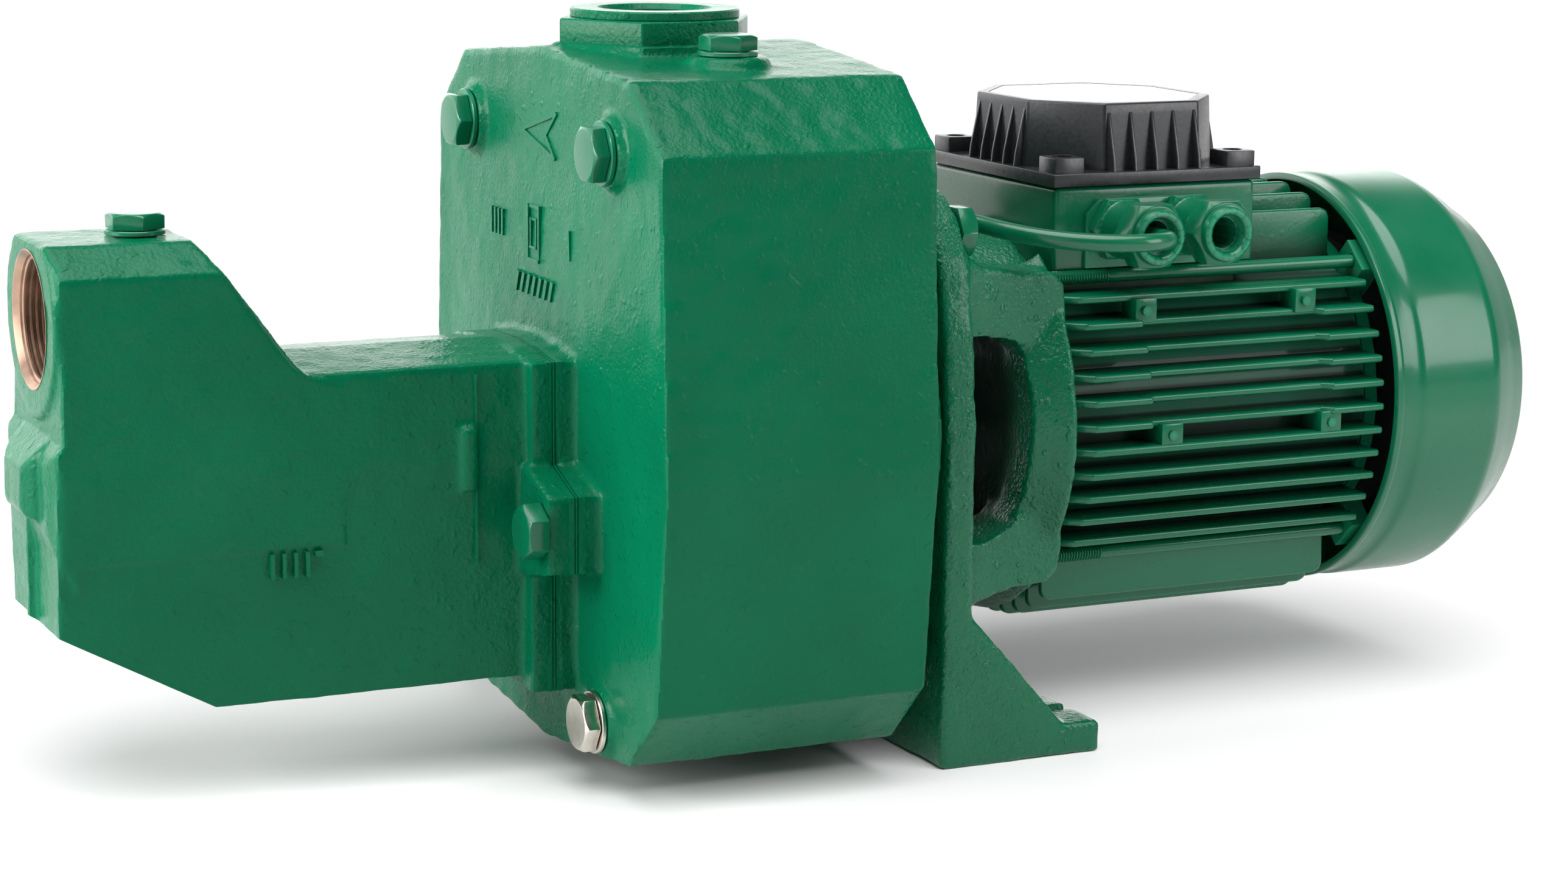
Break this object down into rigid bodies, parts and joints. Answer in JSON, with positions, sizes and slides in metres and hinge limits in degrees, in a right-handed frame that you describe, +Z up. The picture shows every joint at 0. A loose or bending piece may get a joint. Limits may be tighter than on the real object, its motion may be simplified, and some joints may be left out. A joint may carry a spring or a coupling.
{
  "type": "shallow well jet pump",
  "caption": "Close-coupled shallow well jet pump: cast body and ejector nose, footed adapter, finned motor with terminal box, fan under a rear cover.",
  "frame": {"origin": "on the ground under the middle of the pump's bounding box, below the shaft line", "axes": "+X along the shaft from the suction nose to the fan cover, +Z up, the cable glands on the -Y side"},
  "size_m": [0.6304, 0.245, 0.2947],
  "materials": {
    "cast_paint": "glossy enamel over rough cast iron",
    "paint": "glossy enamel",
    "lid_black": "satin with a polished top panel",
    "nickel": "dull nickel plate",
    "steel": "ground",
    "stainless": "turned",
    "moulding": "moulded",
    "graphite": "lapped",
    "fibre": "matt",
    "lamination": "stacked sheet edges",
    "copper": "varnished wire",
    "black_plastic": "moulded",
    "aluminium": "die cast",
    "brass": "cast and turned"
  },
  "bodies": {
    "casing": {"nose_casting": "cast_paint", "pump_body": "cast_paint", "adapter": "cast_paint", "nose_bolt_near": "paint", "nose_bolt_far": "paint", "nose_plug": "paint", "nose_plug_washer": "paint", "priming_plug": "paint", "priming_plug_washer": "paint", "front_plug_near": "paint", "front_plug_near_washer": "paint", "front_plug_far": "paint", "front_plug_far_washer": "paint", "motor_frame": "paint", "terminal_box": "paint", "gland_1_body": "paint", "gland_1_nut": "paint", "gland_2_body": "paint", "gland_2_nut": "paint", "rear_shield": "paint", "fan_cover": "paint", "signal_lead": "paint", "adapter_bolt_upper_near": "paint", "adapter_bolt_upper_far": "paint", "adapter_bolt_lower_far": "paint", "adapter_bolt_lower_near": "paint", "tie_bolt_upper_near": "paint", "tie_bolt_upper_far": "paint", "tie_bolt_lower_far": "paint", "tie_bolt_lower_near": "paint", "terminal_box_lid": "lid_black", "drain_plug": "nickel", "drain_plug_washer": "nickel", "lid_screw_1": "steel", "lid_screw_2": "steel", "lid_screw_3": "steel", "lid_screw_4": "steel", "front_bearing_outer": "steel", "rear_bearing_outer": "steel", "seal_disc": "stainless", "ejector_nozzle": "moulding", "venturi_tube": "moulding", "diffuser": "moulding", "seal_seat": "graphite", "nose_gasket": "fibre", "stator_core": "lamination", "winding_front": "copper", "winding_rear": "copper", "terminal_board": "black_plastic", "run_capacitor": "black_plastic"},
    "rotor": {"shaft": "stainless", "rotor_core": "aluminium", "impeller": "brass", "impeller_nut": "stainless", "seal_rotary": "stainless", "cooling_fan": "black_plastic", "front_bearing_inner": "steel", "rear_bearing_inner": "steel"},
    "front_cage": {"front_bearing_cage": "steel"},
    "rear_cage": {"rear_bearing_cage": "steel"}
  },
  "joints": [
    {"name": "rotor_spin", "type": "hinge", "parent": "casing", "child": "rotor", "pos_m": [0, 0, 0.13], "axis": [1, 0, 0], "continuous": true},
    {"name": "front_cage_spin", "type": "hinge", "parent": "casing", "child": "front_cage", "pos_m": [0.0758, 0, 0.13], "axis": [1, 0, 0], "continuous": true},
    {"name": "rear_cage_spin", "type": "hinge", "parent": "casing", "child": "rear_cage", "pos_m": [0.245, 0, 0.13], "axis": [1, 0, 0], "continuous": true}
  ],
  "couplings": [
    {"joint": "front_cage_spin", "follows": "rotor_spin", "ratio": 0.3987},
    {"joint": "rear_cage_spin", "follows": "rotor_spin", "ratio": 0.3836}
  ]
}
